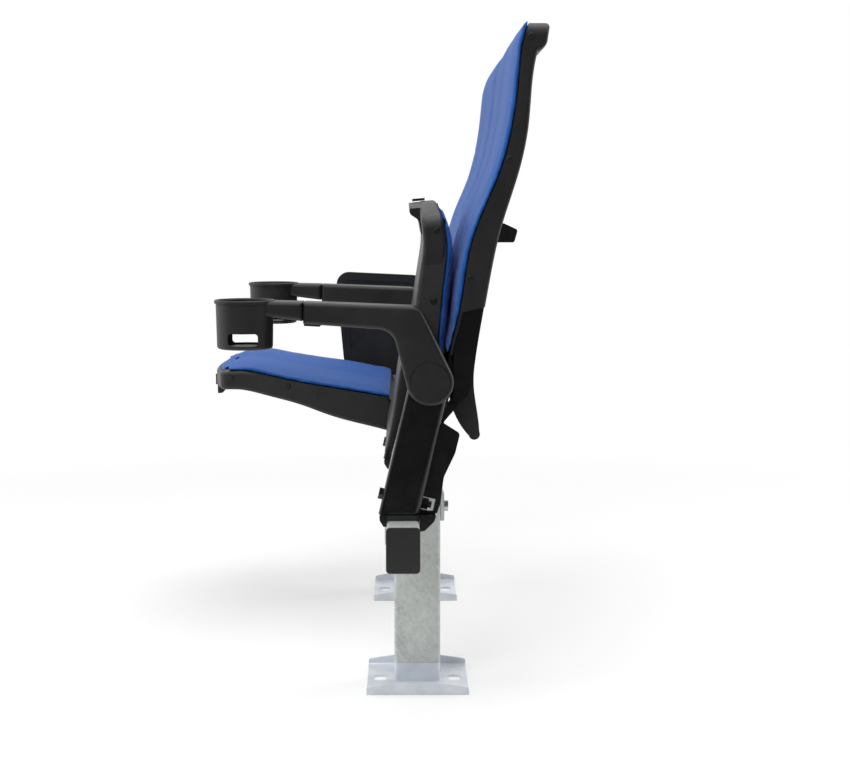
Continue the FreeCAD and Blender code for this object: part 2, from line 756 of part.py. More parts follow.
def make_seat_shell(seat):
    top = curve([at(y, z) for y, z in top_line])
    under = curve([at(y, z) for y, z in under_line])
    profile = Part.Wire([top, line(at(-45, 26), at(-11, -46.5)), under, line(at(-390, 38), at(-390, 62))])
    shell = prism(profile, -seat_width / 2 - 5, seat_width / 2 + 5)
    shell = shell.common(seat_plan(0.0)).removeSplitter()
    rim = edges_where(shell, lambda e: e.Length > 3 and e.BoundBox.YLength > 3 and (
        e.BoundBox.YMax < pivot_y - seat_reach + seat_bow + 25 and e.BoundBox.ZLength < 30
        or abs(e.CenterOfMass.x) > seat_front_width / 2 - 25 and e.BoundBox.ZMax < pivot_z + 41))
    shell = shell.makeFillet(seat_edge, rim)
    nose = prism(rounded([(at(-390, 56), 0.0), (at(-330, 56), 0.0), (at(-330, 38), 0.0), (at(-352, 36), 12.0),
                          (at(-362, 23), 8.0), (at(-390, 23), 0.0)]), -nose_width / 2, nose_width / 2)
    nose = nose.common(seat_plan(1.0)).removeSplitter()
    shell = shell.fuse(nose).removeSplitter()
    shell = shell.cut(rod(at(0, 0, -300), at(0, 0, 300), clear_r))
    hollow_top = [(y, z - 4.5) for y, z in top_line if -330 < y < -100]
    hollow_under = [(y, z + 4.5) for y, z in under_line if -330 < y < -60]
    inside = Part.Wire([curve([at(y, z) for y, z in hollow_top]),
                        line(at(*hollow_top[-1]), at(*hollow_under[0])),
                        curve([at(y, z) for y, z in hollow_under]),
                        line(at(*hollow_under[-1]), at(*hollow_top[0]))])
    width = seat_front_width / 2 - 40
    shell = shell.cut(prism(inside, -width, width))
    for side in (-1, 1):
        outer = side * (seat_width / 2 - hinge_inset + fit)
        inner = side * (seat_width / 2 - hinge_inset - hinge_plate - fit)
        x0, x1 = sorted((outer, inner))
        shell = shell.cut(prism(hinge_outline(0.4), x0, x1))
        for y, z in seat_screw_places:
            start = at(y, z, side * (seat_width / 2 + 1))
            shell = shell.cut(rod(start, start - V(side * 45, 0, 0), screw_r + running))
            seat_face = at(y, z, side * seat_screw_face(y))
            shell = shell.cut(rod(seat_face, seat_face + V(side * 9, 0, 0), screw_head_r + 1))
    return set_seat(shell, seat)


def seat_side(y):
    """Half the width of a seat at a distance in front of the pivot."""
    front = seat_front_width / 2
    bow = seat_reach - seat_bow
    if y > -285:
        share = (-180 - y) / (285 - 180)
        return seat_width / 2 + share * (front + 4 - seat_width / 2)
    share = (-285 - y) / (bow - 285)
    return front + 4 - 4 * share


def seat_screw_face(y):
    """The spot face of a seat screw, sunk until it clears the tapered side."""
    return seat_side(y - screw_head_r - 1) - 0.2


def make_seat_screws(seat):
    screws = []
    for side in (-1, 1):
        for y, z in seat_screw_places:
            face = side * seat_screw_face(y)
            end = side * (seat_width / 2 - hinge_inset - hinge_plate)
            head = rod(at(y, z, face), at(y, z, face + side * screw_head), screw_head_r)
            rim = edges_where(head, lambda e: abs(e.CenterOfMass.x - face - side * screw_head) < 0.01)
            head = head.makeFillet(1.2, rim)
            shank = rod(at(y, z, face), at(y, z, end), screw_r)
            screws.append(head.fuse(shank).removeSplitter())
    return [set_seat(screw, seat) for screw in screws]


def make_seat_pad(seat):
    sections = []
    count = len(top_line)
    for index, (y, z) in enumerate(top_line):
        share = math.sin(math.pi * (index + 0.5) / (count + 0.3))
        edge = (1.0, 2.5, 5.5, 7.0, 8.0, 8.0, 8.0, 8.0, 7.5)[index] / 8.0 * seat_pad + 10
        crown = edge + seat_crown * share
        valley = edge + 0.3 * seat_crown * share
        width = seat_side(min(y, -180)) if y < -180 else seat_width / 2
        width = width - 1.0 - 1.0 * share
        sections.append(pad_section(width, 0, edge, crown, valley,
                                    lambda x, d, y=y, z=z: at(y, z - 10 + d, x)))
    pad = Part.makeLoft(sections, True)
    under = prism(Part.Wire([curve([at(y, z + pad_gap) for y, z in top_line]),
                             line(at(-45, 26 + pad_gap), at(-45, -100)), line(at(-45, -100), at(-390, -100)),
                             line(at(-390, -100), at(-390, 62 + pad_gap))]), -300, 300)
    pad = pad.cut(under).common(seat_plan(4.0))
    return set_seat(pad, seat)


def make_hinge_plates(seat):
    plates = []
    for side in (-1, 1):
        outer = side * (seat_width / 2 - hinge_inset)
        inner = side * (seat_width / 2 - hinge_inset - hinge_plate)
        x0, x1 = sorted((outer, inner))
        plate = prism(hinge_outline(0.0), x0, x1)
        plate = plate.fuse(rod(at(0, 0, x0), at(0, 0, x1), hinge_disc_r)).removeSplitter()
        plate = plate.cut(rod(at(0, 0, x0 - 1), at(0, 0, x1 + 1), bush_r + fit / 2))
        wide = stop_pin_r + fit
        ring = rod(at(0, 0, x0 - 1), at(0, 0, x1 + 1), stop_orbit + wide)
        ring = ring.cut(rod(at(0, 0, x0 - 2), at(0, 0, x1 + 2), stop_orbit - wide))
        first = math.radians(stop_angle)
        last = math.radians(stop_angle + tip_angle)
        half = math.radians(stop_angle + tip_angle / 2)
        far = 120.0
        sector = prism([at(0, 0), at(far * math.cos(first), far * math.sin(first)),
                        at(far * math.cos(half), far * math.sin(half)),
                        at(far * math.cos(last), far * math.sin(last))], x0 - 1, x1 + 1)
        slot = ring.common(sector)
        for angle in (first, last):
            y = stop_orbit * math.cos(angle)
            z = stop_orbit * math.sin(angle)
            slot = slot.fuse(rod(at(y, z, x0 - 1), at(y, z, x1 + 1), wide))
        plate = plate.cut(slot)
        y, z = seat_screw_places[1]
        plate = plate.cut(rod(at(y, z, x0 - 1), at(y, z, x1 + 1), screw_r + running))
        plates.append(set_seat(plate, seat))
    return plates


def make_bushes(seat):
    bushes = []
    for side in (-1, 1):
        outer = side * (seat_width / 2 - hinge_inset)
        inner = side * (seat_width / 2 - hinge_inset - hinge_plate)
        bush = rod(at(0, 0, outer), at(0, 0, inner), bush_r)
        bush = bush.cut(rod(at(0, 0, outer + side), at(0, 0, inner - side), axle_r + running))
        bushes.append(set_seat(bush, seat))
    return bushes


def make_number_plate(seat):
    """A bare plate on the front lip, where a seat number goes."""
    plate = box(-plate_width / 2, plate_width / 2, pivot_y - seat_reach - plate_thickness - 0.6,
                pivot_y - seat_reach - 0.6, pivot_z + 29, pivot_z + 29 + plate_height)
    plate = plate.makeFillet(1.5, edges_where(plate, lambda e: e.BoundBox.YLength > 1))
    return set_seat(plate, seat)


# Armrests

def from_boss(y, z, x=0.0):
    return at(boss_y + y, boss_z + z, x)


arm_front = -185.5
arm_rear_corner = (-15.9, 111.5)
arm_inner_corner = (-55.1, 77.4)


def boss_tangent(corner, hand):
    """Where a line from a corner of the arm touches the round of its boss."""
    distance = math.hypot(corner[0], corner[1])
    angle = math.atan2(corner[1], corner[0]) + hand * math.acos(arm_boss_r / distance)
    return arm_boss_r * math.cos(angle), arm_boss_r * math.sin(angle)


def make_arm(name):
    x = standard_x[name]
    half = arm_width / 2
    corners = [(arm_front, 118.2, 1.5), (arm_rear_corner[0], arm_rear_corner[1], 20.0)]
    corners.append(boss_tangent(arm_rear_corner, -1) + (0.0,))
    corners.append(boss_tangent(arm_inner_corner, 1) + (0.0,))
    corners.append((arm_inner_corner[0], arm_inner_corner[1], 28.0))
    corners.append((arm_front, 86.4, 1.5))
    outline = rounded([(from_boss(y, z), r) for y, z, r in corners])
    arm = prism(outline, -half, half)
    boss = rod(from_boss(0, 0, -half), from_boss(0, 0, half), arm_boss_r)
    arm = arm.fuse(boss).removeSplitter()
    front = from_boss(arm_front, 0).y + 0.5
    long_edges = edges_where(arm, lambda e: e.BoundBox.XLength < 0.01 and e.BoundBox.YMin > front)
    arm = arm.makeFillet(6.0, long_edges)
    clip = prism([from_boss(arm_front + 1, 88), from_boss(arm_front + 1, 83.4), from_boss(arm_front + 24, 82.2),
                  from_boss(arm_front + 30, 88)], -half + 8, half - 8)
    arm = arm.fuse(clip)
    socket = tube_section(upright_width + 2 * fit, upright_depth + 2 * fit, 1.0)
    socket.translate(V(0, 0, -30))
    length = lean()[1].Length
    socket = socket.extrude(V(0, 0, length + 30))
    reach = upright_width / 2 + fit
    socket = socket.fuse(rod(V(-reach, 0, length), V(reach, 0, length), upright_depth / 2 + fit))
    arm = arm.cut(on_upright(socket, 0))
    for side in (-1, 1):
        recess = rod(from_boss(0, 0, side * (half + 1)), from_boss(0, 0, side * (half - arm_recess)),
                     arm_disc_r + fit)
        arm = arm.cut(recess)
    arm = arm.cut(rod(from_boss(0, 0, -half), from_boss(0, 0, half), bolt_r + fit))
    tongue_room = box(-half + 9.6, half - 9.6, from_boss(arm_front - 1, 0).y, from_boss(arm_front + 22.4, 0).y,
                      from_boss(0, 92.6).z, from_boss(0, 111.4).z)
    arm = arm.cut(tongue_room)
    arm.translate(V(x, 0, 0))
    return arm


def make_arm_discs():
    discs = []
    for name in ("left", "middle"):
        for side in (-1, 1):
            outer = standard_x[name] + side * arm_width / 2
            inner = outer - side * arm_disc
            disc = rod(from_boss(0, 0, inner), from_boss(0, 0, outer), arm_disc_r)
            rim = edges_where(disc, lambda e: abs(e.CenterOfMass.x - outer) < 0.01)
            discs.append(disc.makeFillet(1.0, rim))
    return discs


def make_arm_bolts():
    bolts = []
    for name in ("left", "middle"):
        x = standard_x[name]
        seat = arm_width / 2 - arm_recess
        bolt = rod(from_boss(0, 0, x - seat - 2.2), from_boss(0, 0, x + seat + 2.2), bolt_r)
        for side in (-1, 1):
            bolt = bolt.fuse(rod(from_boss(0, 0, x + side * seat), from_boss(0, 0, x + side * (seat + 2.2)), 10.0))
        bolts.append(bolt.removeSplitter())
    return bolts


cup_top = 120.8


def make_cup(name):
    x = standard_x[name]
    middle = from_boss(-cup_reach, cup_top)
    low = middle.z - cup_height
    y = middle.y

    def p(radius, z):
        return V(0, y + radius, z)

    lip = 2.2
    outline = [p(0, low), p(cup_foot_r - 4, low), p(cup_foot_r - 1, low + 1.2), p(cup_foot_r, low + 4),
               p(cup_r - lip, middle.z - 6), p(cup_r, middle.z - 5), p(cup_r, middle.z - 1.2),
               p(cup_r - 1.2, middle.z), p(cup_r - cup_wall - 0.6, middle.z),
               p(cup_r - cup_wall - lip, middle.z - 2), p(cup_foot_r - cup_wall, low + cup_wall),
               p(0, low + cup_wall)]
    face = Part.Face(Part.makePolygon(outline + outline[:1]))
    cup = face.revolve(V(0, y, 0), V(0, 0, 1), 360)
    window_low = low + cup_window_low
    window = box(-60, 60, y - cup_window_width / 2, y + cup_window_width / 2, window_low,
                 window_low + cup_window_height)
    window = window.makeFillet(5.0, edges_where(window, lambda e: e.BoundBox.XLength > 100))
    cup = cup.cut(window)
    start = from_boss(arm_front - fit, 0).y
    stub = prism(rounded([(V(0, start, from_boss(0, 118.2).z), 1.5), (V(0, start, from_boss(0, 90.4).z), 1.5),
                          (V(0, y + cup_r - 20, from_boss(0, 98.5).z), 0.0),
                          (V(0, y + cup_r - 20, from_boss(0, 119.6).z), 0.0)]), -arm_width / 2, arm_width / 2)
    stub = stub.makeFillet(6.0, edges_where(stub, lambda e: e.BoundBox.XLength < 0.01
                                            and e.BoundBox.YLength > 20))
    tongue = box(-arm_width / 2 + 10, arm_width / 2 - 10, start - 1, from_boss(arm_front + 22, 0).y,
                 from_boss(0, 93).z, from_boss(0, 111).z)
    taper = Part.makeCone(cup_foot_r - cup_wall, cup_r - cup_wall - lip, cup_height - cup_wall - 2,
                          V(0, y, low + cup_wall))
    room = taper.fuse(Part.makeCylinder(cup_r - cup_wall, 20, V(0, y, middle.z - 2)))
    cup = cup.fuse(stub.fuse(tongue).cut(room)).removeSplitter()
    cup.translate(V(x, 0, 0))
    return cup


# End panel on the outside of the right standard

panel_corners = [(-165, 236, 26.0), (4, 228, 30.0), (44, 214, 26.0), (40, -20, 30.0), (-20, -50, 30.0),
                 (-120, -44, 34.0), (-148, 49, 60.0)]


def make_end_panel():
    inner = standard_x["right"] - upright_width / 2 - fit
    outer = inner - panel
    outline = rounded([(at(y, z), r) for y, z, r in panel_corners])
    body = prism(outline, outer, inner)
    field = outline.makeOffset2D(-panel_border)
    disc = rod(at(-73, 40, outer - 1), at(-73, 40, inner + 1), panel_disc_r)
    for start, end in ((inner + 1, inner - panel_field), (outer - 1, outer + panel_field)):
        x0, x1 = sorted((start, end))
        pocket = prism(field, x0, x1)
        pocket = pocket.cut(disc)
        if start > end:
            foot, direction = lean()
            land = tube_section(upright_width, upright_depth + 12, 1.0)
            land.translate(V(0, 0, -20))
            land = on_upright(land.extrude(V(0, 0, direction.Length + 60)), standard_x["right"])
            land.translate(V(-upright_width / 2, 0, 0))
            pocket = pocket.cut(land)
        body = body.cut(pocket)
    for y, z in ((boss_y, boss_z), panel_bolt):
        body = body.cut(rod(at(y, z, outer - 1), at(y, z, inner + 1), panel_bolt_r + fit))
        body = body.cut(rod(at(y, z, outer - 1), at(y, z, outer + panel_field), panel_head_r + 1))
    return body


def make_panel_bolts():
    bolts = []
    inner = standard_x["right"] - upright_width / 2
    face = inner - fit - panel + panel_field
    for y, z in ((boss_y, boss_z), panel_bolt):
        bolt = rod(at(y, z, face), at(y, z, inner + upright_wall), panel_bolt_r)
        end = face - panel_head
        head = rod(at(y, z, face), at(y, z, end), panel_head_r)
        head = head.makeFillet(1.5, edges_where(head, lambda e: abs(e.CenterOfMass.x - end) < 0.01))
        bolts.append(bolt.fuse(head).removeSplitter())
    return bolts


def main():
    os.makedirs("parts", exist_ok=True)
    save("beam", make_beam())
    save("beam_cap_left", make_beam_cap(1))
    save("beam_cap_right", make_beam_cap(-1))
    for name, x in post_places.items():
        save("post_" + name, make_post(x))
        save("foot_" + name, make_foot(x))
        save("beam_strap_" + name, make_strap(x))
    save("strap_bolts", make_strap_bolts())
    for name, x in standard_x.items():
        save("saddle_" + name, make_saddle(x))
        save("upright_" + name, make_upright(name))
        save("hub_" + name, make_hubs(name))
    save("cross_bolts", make_cross_bolts())
    save("beam_bolts", make_beam_bolts())
    save("pivot_axles", make_axles())
    save("stop_pins", make_stop_pins())
    for name, side, label in (("left", -1, "left_outer"), ("middle", 1, "left_inner"),
                              ("middle", -1, "right_inner"), ("right", 1, "right_outer")):
        seat = label.split("_")[0]
        bracket = make_bracket(name, side)
        for hole in back_bracket_screw_room(seat):
            bracket = bracket.cut(hole)
        save("back_bracket_" + label, bracket)
    save("bracket_bolts", make_bracket_bolts())
    for seat in seat_x:
        save("back_shell_" + seat, make_back_shell(seat))
        save("back_pad_" + seat, make_back_pad(seat))
        save("back_screws_" + seat, make_back_screws(seat))
        save("seat_shell_" + seat, make_seat_shell(seat))
        save("seat_pad_" + seat, make_seat_pad(seat))
        save("seat_screws_" + seat, make_seat_screws(seat))
        save("hinge_plates_" + seat, make_hinge_plates(seat))
        save("pivot_bushes_" + seat, make_bushes(seat))
        save("number_plate_" + seat, make_number_plate(seat))
    for name in ("left", "middle"):
        save("arm_" + name, make_arm(name))
        save("cup_holder_" + name, make_cup(name))
    save("arm_discs", make_arm_discs())
    save("arm_bolts", make_arm_bolts())
    save("end_panel", make_end_panel())
    save("panel_bolts", make_panel_bolts())


main()
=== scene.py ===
import math
import bpy
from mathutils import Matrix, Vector


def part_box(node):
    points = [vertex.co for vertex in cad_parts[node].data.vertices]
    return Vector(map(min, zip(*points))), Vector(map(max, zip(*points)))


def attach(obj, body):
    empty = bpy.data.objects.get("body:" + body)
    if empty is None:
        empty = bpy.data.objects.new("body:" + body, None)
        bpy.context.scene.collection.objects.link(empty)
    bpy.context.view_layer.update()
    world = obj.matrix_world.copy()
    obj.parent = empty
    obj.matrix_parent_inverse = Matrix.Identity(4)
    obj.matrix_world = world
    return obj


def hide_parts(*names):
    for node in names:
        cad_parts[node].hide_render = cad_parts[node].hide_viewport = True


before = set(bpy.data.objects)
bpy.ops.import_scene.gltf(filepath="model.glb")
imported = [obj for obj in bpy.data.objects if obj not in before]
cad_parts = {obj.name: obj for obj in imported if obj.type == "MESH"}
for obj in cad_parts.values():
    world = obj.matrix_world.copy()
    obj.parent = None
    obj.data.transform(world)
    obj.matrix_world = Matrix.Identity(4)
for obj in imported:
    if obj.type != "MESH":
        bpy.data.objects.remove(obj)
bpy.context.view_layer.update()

# Feet: zinc-plated steel, a floor plate between two arched flanges, with a stub under the post.
# The plating is bright and bluish, clouded in patches, with a fine grain.


class Tint:
    """A value among the nodes of a material, which ordinary sums can use."""

    def __init__(self, tree, socket=None):
        self.tree = tree
        self.socket = socket

    def node(self, kind, settings=None, sockets=None, out=0):
        """Adds a node: its settings first, then the values or links of its sockets."""
        made = self.tree.nodes.new(kind)
        for name, value in (settings or {}).items():
            if name == "stops":
                ramp = made.color_ramp
                for place, _ in value[1:-1]:
                    ramp.elements.new(place)
                ramp.elements[0].position = value[0][0]
                ramp.elements[-1].position = value[-1][0]
                for stop, (_, colour) in zip(ramp.elements, value):
                    stop.color = (*colour, 1.0)
            else:
                setattr(made, name, value)
        for name, value in (sockets or {}).items():
            if isinstance(value, Tint):
                self.tree.links.new(value.socket, made.inputs[name])
            else:
                made.inputs[name].default_value = value
        return Tint(self.tree, None if out is None else made.outputs[out])

    def maths(self, operation, *values):
        return self.node("ShaderNodeMath", {"operation": operation}, dict(enumerate(values)))

    def __add__(self, other):
        return self.maths("ADD", self, other)

    def __sub__(self, other):
        return self.maths("SUBTRACT", self, other)

    def __rsub__(self, other):
        return self.maths("SUBTRACT", other, self)

    def __mul__(self, other):
        return self.maths("MULTIPLY", self, other)

    __radd__ = __add__
    __rmul__ = __mul__

    def sine(self):
        return self.maths("SINE", self)

    def between(self, low, high, low_value=0.0, high_value=1.0):
        """Spreads the stretch from low to high over two other values, and no further."""
        ends = {0: self, 1: low, 2: high, 3: low_value, 4: high_value}
        return self.node("ShaderNodeMapRange", None, ends)

    def colours(self, *stops):
        """Turns the value into a colour by stops, each a place from 0 to 1 and its colour."""
        return self.node("ShaderNodeValToRGB", {"stops": stops}, {"Fac": self})

    def blend(self, first, second):
        """The first colour where the value is 0 and the second where it is 1."""
        return self.node("ShaderNodeMix", {"data_type": "RGBA"}, {0: self, 6: first, 7: second},
                         out=2)

    def turned(self, scale=(1, 1, 1), turn=(0, 0, 0), shift=(0, 0, 0)):
        """The pattern's coordinates stretched by a scale, turned in degrees and shifted."""
        angles = [math.radians(angle) for angle in turn]
        return self.node("ShaderNodeMapping", None,
                         {"Vector": self, "Scale": scale, "Rotation": angles, "Location": shift})

    def clouds(self, scale, detail=3.0, roughness=0.55):
        return self.node("ShaderNodeTexNoise", None,
                         {"Vector": self, "Scale": scale, "Detail": detail, "Roughness": roughness},
                         out="Fac")

    def cells(self, scale, out="Distance"):
        return self.node("ShaderNodeTexVoronoi", {"feature": "F1"}, {"Vector": self, "Scale": scale},
                         out=out)

    def finish(self, height, depth, **sockets):
        """Ends the material in one Principled surface over a bump of a depth in metres."""
        bump = self.node("ShaderNodeBump", None,
                         {"Strength": 1.0, "Distance": depth, "Height": height}, out="Normal")
        named = {name.replace("_", " "): value for name, value in sockets.items()}
        shader = self.node("ShaderNodeBsdfPrincipled", None, {**named, "Normal": bump},
                           out="BSDF")
        self.node("ShaderNodeOutputMaterial", None, {"Surface": shader}, out=None)


def new_material(name):
    """An empty material, and the object coordinates in metres that its pattern follows."""
    material = bpy.data.materials.new(name)
    material.use_nodes = True
    material.node_tree.nodes.clear()
    return material, Tint(material.node_tree).node("ShaderNodeTexCoord", out="Object")


def dress(material, *names):
    """Gives finished pieces of the frame their material."""
    for name in names:
        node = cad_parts[name]
        node.data.materials.clear()
        node.data.materials.append(material)


zinc, place = new_material("zinc_plating")
cloudy = place.clouds(scale=28, detail=4)
fleck = place.clouds(scale=420, detail=2)
zinc_colour = cloudy.colours((0.30, (0.70, 0.74, 0.80)), (0.52, (0.78, 0.82, 0.88)),
                             (0.72, (0.86, 0.88, 0.93)))
place.finish(cloudy + fleck * 0.25, depth=0.0001, Base_Color=zinc_colour, Metallic=0.3,
             Roughness=cloudy.between(0.3, 0.7, 0.42, 0.28))
dress(zinc, "foot_left", "foot_right")

# Posts and beam: hot-dip galvanised tube, set over the spigots of the feet and notched for the beam.
# The zinc has crystallised in mottled grey patches, and fine slanting scratches cross it.

galvanised, place = new_material("galvanised_tube")
spangle = place.cells(scale=210, out="Color")
spangle_tone = place.node("ShaderNodeSeparateColor", None, {0: spangle}, out=0)
patches = place.clouds(scale=11, detail=3, roughness=0.5)
mottle = place.clouds(scale=60, detail=5, roughness=0.65)
scratch_slant = 57
drawn = place.turned(turn=(scratch_slant, 0, 0))
drag = drawn.turned(scale=(40, 16, 520)).clouds(scale=1.0, detail=2, roughness=0.6)
scores = drawn.turned(scale=(25, 5, 300), shift=(0.3, 0.1, 0.7))
score = scores.clouds(scale=1.0, detail=1, roughness=0.5).between(0.66, 0.74)
handling = place.clouds(scale=8, detail=2).between(0.42, 0.62)
tone = patches * 0.42 + mottle * 0.26 + spangle_tone * 0.10 + drag * 0.22
grey = tone.colours((0.30, (0.42, 0.445, 0.43)), (0.48, (0.60, 0.63, 0.605)),
                    (0.66, (0.72, 0.745, 0.72)))
tube_colour = (score * handling * 0.8).blend(grey, (0.90, 0.91, 0.90, 1))
place.finish(mottle * 0.4 + drag * 0.3 + score * 0.4, depth=0.00018, Base_Color=tube_colour,
             Metallic=0.38, Roughness=tone.between(0.3, 0.7, 0.58, 0.42))
dress(galvanised, "post_left", "post_right", "beam", "beam_strap_left", "beam_strap_right")

# Bolts, axles and hinge plates: zinc-plated steel, dulled by handling.
# The straps' bolts are at the back of the posts, and the axles run through the hubs.

bright, place = new_material("zinc_fastener")
smear = place.clouds(scale=60, detail=3)
zinc_grey = smear.colours((0.3, (0.42, 0.43, 0.44)), (0.7, (0.66, 0.67, 0.68)))
place.finish(smear, depth=0.0001, Base_Color=zinc_grey, Metallic=0.9,
             Roughness=smear.between(0.3, 0.7, 0.30, 0.45))
dress(bright, "strap_bolts", "beam_bolts", "arm_bolts", "pivot_axles", "stop_pins",
      "hinge_plates_left", "hinge_plates_right")

# Beam end caps: push-in plugs with a rounded rim, moulded in black.
# They are smoother than the seats' mouldings, and so a little glossier.

plug, place = new_material("plug_moulding")
skin = place.clouds(scale=900, detail=2)
plug_black = skin.colours((0.3, (0.010, 0.010, 0.0105)), (0.7, (0.015, 0.015, 0.0155)))
place.finish(skin, depth=0.00006, Base_Color=plug_black, Roughness=0.36)
dress(plug, "beam_cap_left", "beam_cap_right")

# Standards: steel saddle, leaning upright with a welded gusset, the brackets of the backs and
# their bolts. All are gloss black powder coat, with a faint orange-peel ripple in the coat.

powder_coat, place = new_material("gloss_powder_coat")
ripple = place.clouds(scale=240, detail=2, roughness=0.4)
dust = place.clouds(scale=35, detail=4)
coat_black = dust.colours((0.35, (0.0035, 0.0035, 0.004)), (0.75, (0.007, 0.007, 0.0075)))
place.finish(ripple, depth=0.00012, Base_Color=coat_black,
             Roughness=dust.between(0.35, 0.75, 0.12, 0.20), Specular_IOR_Level=0.4,
             Coat_Weight=0.25, Coat_Roughness=0.06)
dress(powder_coat, "cross_bolts", "bracket_bolts", "panel_bolts", "back_bracket_left_inner",
      "back_bracket_left_outer", "back_bracket_right_inner", "back_bracket_right_outer",
      *[kind + side for kind in ("saddle_", "upright_") for side in ("left", "middle", "right")])

# Moulded parts: hubs, shells, armrests, cup holders and end panel, in black filled polypropylene.
# The mould is finely textured, so the surface is matte, with a faint and uneven bloom.

moulding, place = new_material("textured_moulding")
grain = place.cells(scale=1500)
pores = place.clouds(scale=2600, detail=2)
bloom = place.clouds(scale=14, detail=4)
handled = place.clouds(scale=70, detail=3)
wear = bloom * 0.7 + handled * 0.3
black = wear.colours((0.3, (0.011, 0.0105, 0.0105)), (0.7, (0.020, 0.0193, 0.019)))
place.finish(grain * 0.7 + pores * 0.6, depth=0.0001, Base_Color=black, Specular_IOR_Level=0.42,
             Roughness=wear.between(0.3, 0.7, 0.40, 0.52))
dress(moulding, "arm_left", "arm_middle", "cup_holder_left", "cup_holder_middle", "arm_discs",
      "end_panel", "back_shell_left", "back_shell_right", "seat_shell_left", "seat_shell_right",
      "hub_left", "hub_middle", "hub_right", "number_plate_left", "number_plate_right")

# Small screws in the sides of the backs and seats: blackened pan heads.
# Their crowns are worn a little brighter in places.

screw, place = new_material("blackened_screw")
worn = place.clouds(scale=500, detail=3)
screw_black = worn.colours((0.35, (0.012, 0.012, 0.013)), (0.7, (0.06, 0.06, 0.062)))
place.finish(worn, depth=0.00008, Base_Color=screw_black, Metallic=0.6, Roughness=0.34)
dress(screw, "back_screws_left", "back_screws_right", "seat_screws_left", "seat_screws_right")

# Hinge bushes: plain nylon sleeves in the hinge plates, in the resin's own milky colour.
# They turn on the axles, beside the hubs.

nylon, place = new_material("natural_nylon")
milky = place.clouds(scale=80, detail=2)
resin = milky.colours((0.3, (0.62, 0.61, 0.56)), (0.7, (0.72, 0.71, 0.66)))
place.finish(milky, depth=0.00005, Base_Color=resin, Roughness=0.45)
dress(nylon, "pivot_bushes_left", "pivot_bushes_right")

# Pads: thin foam under a fine blue mesh cloth that is drawn round the edge.
# Each has two shallow pillows side by side, and they are puffed by a short cloth simulation.
# The sides, the back and the valley between the pillows are held, and the puff is capped.

merge_gap = 0.00002
voxel = 0.0055
held_facing = 0.35
puff_pressure = 4.0
puff_quality = 4
puff_frames = 20
puff_limit = 0.0035
valley_half = 0.004
smooth_rounds = 2
smooth_factor = 0.5
thread = 0.0011


def cloth_finish(name, tilt):
    """Blue mesh cloth with threads along X and along the pad, which leans by a tilt in degrees."""
    material, place = new_material(name)
    lie = place.turned(turn=(tilt, 0, 0))
    across = lie.node("ShaderNodeSeparateXYZ", None, {0: lie}, out="X")
    length = Tint(across.tree, across.socket.node.outputs["Z"])
    turns = 2 * math.pi / thread
    knot = (across * turns).sine() * (length * turns).sine()
    cover = knot.between(-0.7, 0.7)
    shade = lie.clouds(scale=9, detail=4)
    deep = shade.blend((0.003, 0.072, 0.36, 1), (0.005, 0.088, 0.41, 1))
    light = shade.blend((0.012, 0.135, 0.50, 1), (0.018, 0.155, 0.56, 1))
    fuzz = lie.clouds(scale=700, detail=2)
    place.finish(knot * 0.5 + fuzz * 0.4, depth=0.00025, Base_Color=cover.blend(deep, light),
                 Roughness=0.62, Specular_IOR_Level=0.3, Sheen_Weight=0.28, Sheen_Roughness=0.30,
                 Sheen_Tint=(0.80, 0.82, 1.0, 1))
    return material


def upholster(node, name, body, outward, tilt):
    """The pad that stands for a plain CAD pad; outward is the way its padded face looks."""
    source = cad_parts[node]
    pad = bpy.data.objects.new(name, source.data.copy())
    bpy.context.scene.collection.objects.link(pad)
    bpy.ops.object.select_all(action="DESELECT")
    pad.select_set(True)
    bpy.context.view_layer.objects.active = pad
    bpy.ops.object.mode_set(mode="EDIT")
    bpy.ops.mesh.select_all(action="SELECT")
    bpy.ops.mesh.remove_doubles(threshold=merge_gap)
    bpy.ops.object.mode_set(mode="OBJECT")
    remesh = pad.modifiers.new("remesh", "REMESH")
    remesh.mode = "VOXEL"
    remesh.voxel_size = voxel
    bpy.ops.object.modifier_apply(modifier="remesh")
    low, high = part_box(node)
    centre = (low.x + high.x) / 2
    held = pad.vertex_groups.new(name="held")
    start = [v.co.copy() for v in pad.data.vertices]
    for vertex in pad.data.vertices:
        turned_away = vertex.normal.dot(outward) < held_facing
        if turned_away or abs(vertex.co.x - centre) < valley_half:
            held.add([vertex.index], 1.0, "REPLACE")
    cloth = pad.modifiers.new("cloth", "CLOTH")
    cloth.settings.use_pressure = True
    cloth.settings.uniform_pressure_force = puff_pressure
    cloth.settings.vertex_group_mass = "held"
    cloth.settings.effector_weights.gravity = 0.0
    cloth.settings.quality = puff_quality
    cloth.point_cache.frame_end = puff_frames
    for step in range(1, puff_frames + 1):
        bpy.context.scene.frame_set(step)
    bpy.ops.object.modifier_apply(modifier="cloth")
    bpy.context.scene.frame_set(1)
    for vertex, before in zip(pad.data.vertices, start):
        moved = vertex.co - before
        if moved.length > puff_limit:
            vertex.co = before + moved * (puff_limit / moved.length)
    smooth = pad.modifiers.new("smooth", "SMOOTH")
    smooth.iterations = smooth_rounds
    smooth.factor = smooth_factor
    bpy.ops.object.modifier_apply(modifier="smooth")
    finer = pad.modifiers.new("finer", "SUBSURF")
    finer.levels = 1
    finer.render_levels = 1
    bpy.ops.object.modifier_apply(modifier="finer")
    bpy.ops.object.shade_smooth()
    pad.data.materials.clear()
    pad.data.materials.append(cloth_finish(name + "_cloth", tilt))
    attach(pad, body)
    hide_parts(node)


